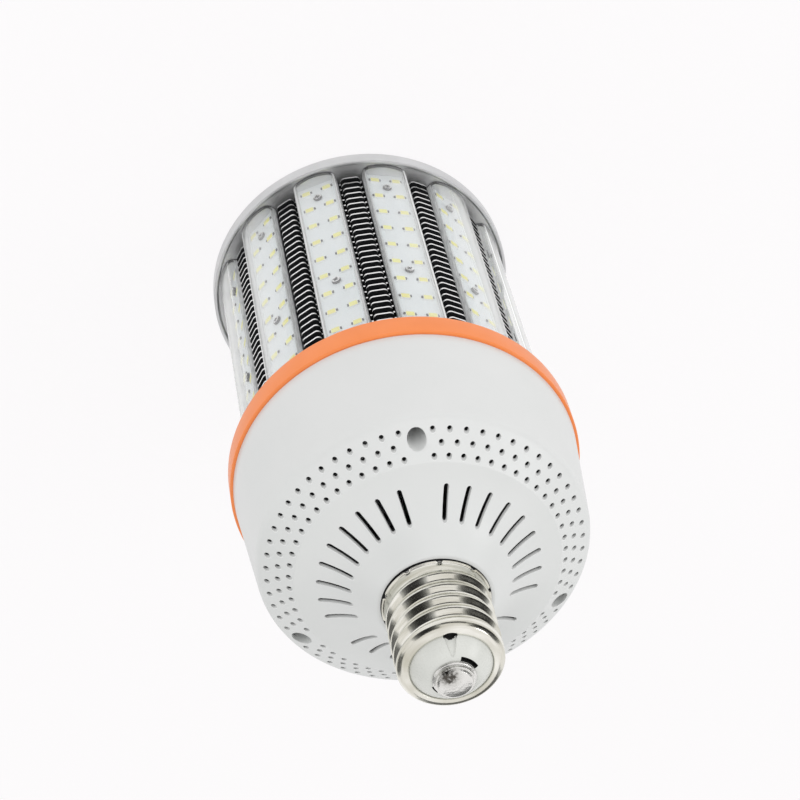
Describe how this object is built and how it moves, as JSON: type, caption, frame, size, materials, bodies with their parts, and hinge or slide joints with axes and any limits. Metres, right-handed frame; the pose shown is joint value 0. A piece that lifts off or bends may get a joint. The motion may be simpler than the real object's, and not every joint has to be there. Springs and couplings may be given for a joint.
{
  "type": "corn led bulb",
  "caption": "Corn LED bulb: upright LED strips under clear covers round a finned core, with a vented driver housing, an orange trim ring and a large screw base.",
  "frame": {"origin": "centre of the end cap's flat face, the head that the lamp stands on", "axes": "+Z along the lamp's axis from the head to the screw base, +Y through one housing screw"},
  "size_m": [0.137, 0.137, 0.2634],
  "materials": {
    "cap_metal": "satin",
    "screw_steel": "satin",
    "fin_metal": "mill finish",
    "rail_metal": "satin",
    "board_white": "white solder mask",
    "cover_clear": "clear moulding",
    "chip_yellow": "phosphor gel",
    "ring_orange": "semi-gloss",
    "housing_white": "fine satin",
    "shell_nickel": "nickel plated",
    "insulator_white": "moulded",
    "contact_tin": "tinned",
    "driver_green": "solder mask",
    "transformer_dark": "matt",
    "capacitor_dark": "sleeve",
    "lead_red": "insulated wire",
    "lead_white": "insulated wire"
  },
  "bodies": {
    "root": {"end_cap": "cap_metal", "cap_screws": "screw_steel", "fin_stack": "fin_metal", "board_rail_01": "rail_metal", "led_board_01": "board_white", "strip_cover_01": "cover_clear", "board_rail_02": "rail_metal", "led_board_02": "board_white", "strip_cover_02": "cover_clear", "board_rail_03": "rail_metal", "led_board_03": "board_white", "strip_cover_03": "cover_clear", "board_rail_04": "rail_metal", "led_board_04": "board_white", "strip_cover_04": "cover_clear", "board_rail_05": "rail_metal", "led_board_05": "board_white", "strip_cover_05": "cover_clear", "board_rail_06": "rail_metal", "led_board_06": "board_white", "strip_cover_06": "cover_clear", "board_rail_07": "rail_metal", "led_board_07": "board_white", "strip_cover_07": "cover_clear", "board_rail_08": "rail_metal", "led_board_08": "board_white", "strip_cover_08": "cover_clear", "board_rail_09": "rail_metal", "led_board_09": "board_white", "strip_cover_09": "cover_clear", "board_rail_10": "rail_metal", "led_board_10": "board_white", "strip_cover_10": "cover_clear", "board_rail_11": "rail_metal", "led_board_11": "board_white", "strip_cover_11": "cover_clear", "board_rail_12": "rail_metal", "led_board_12": "board_white", "strip_cover_12": "cover_clear", "board_screws": "screw_steel", "led_chips": "chip_yellow", "mount_plate": "cap_metal", "trim_ring": "ring_orange", "driver_housing": "housing_white", "housing_screws": "screw_steel", "screw_shell": "shell_nickel", "base_insulator": "insulator_white", "centre_contact": "contact_tin", "driver_board": "driver_green", "transformer": "transformer_dark", "bulk_capacitor": "capacitor_dark", "line_choke": "transformer_dark", "live_lead": "lead_red", "neutral_lead": "lead_white"}
  },
  "joints": []
}
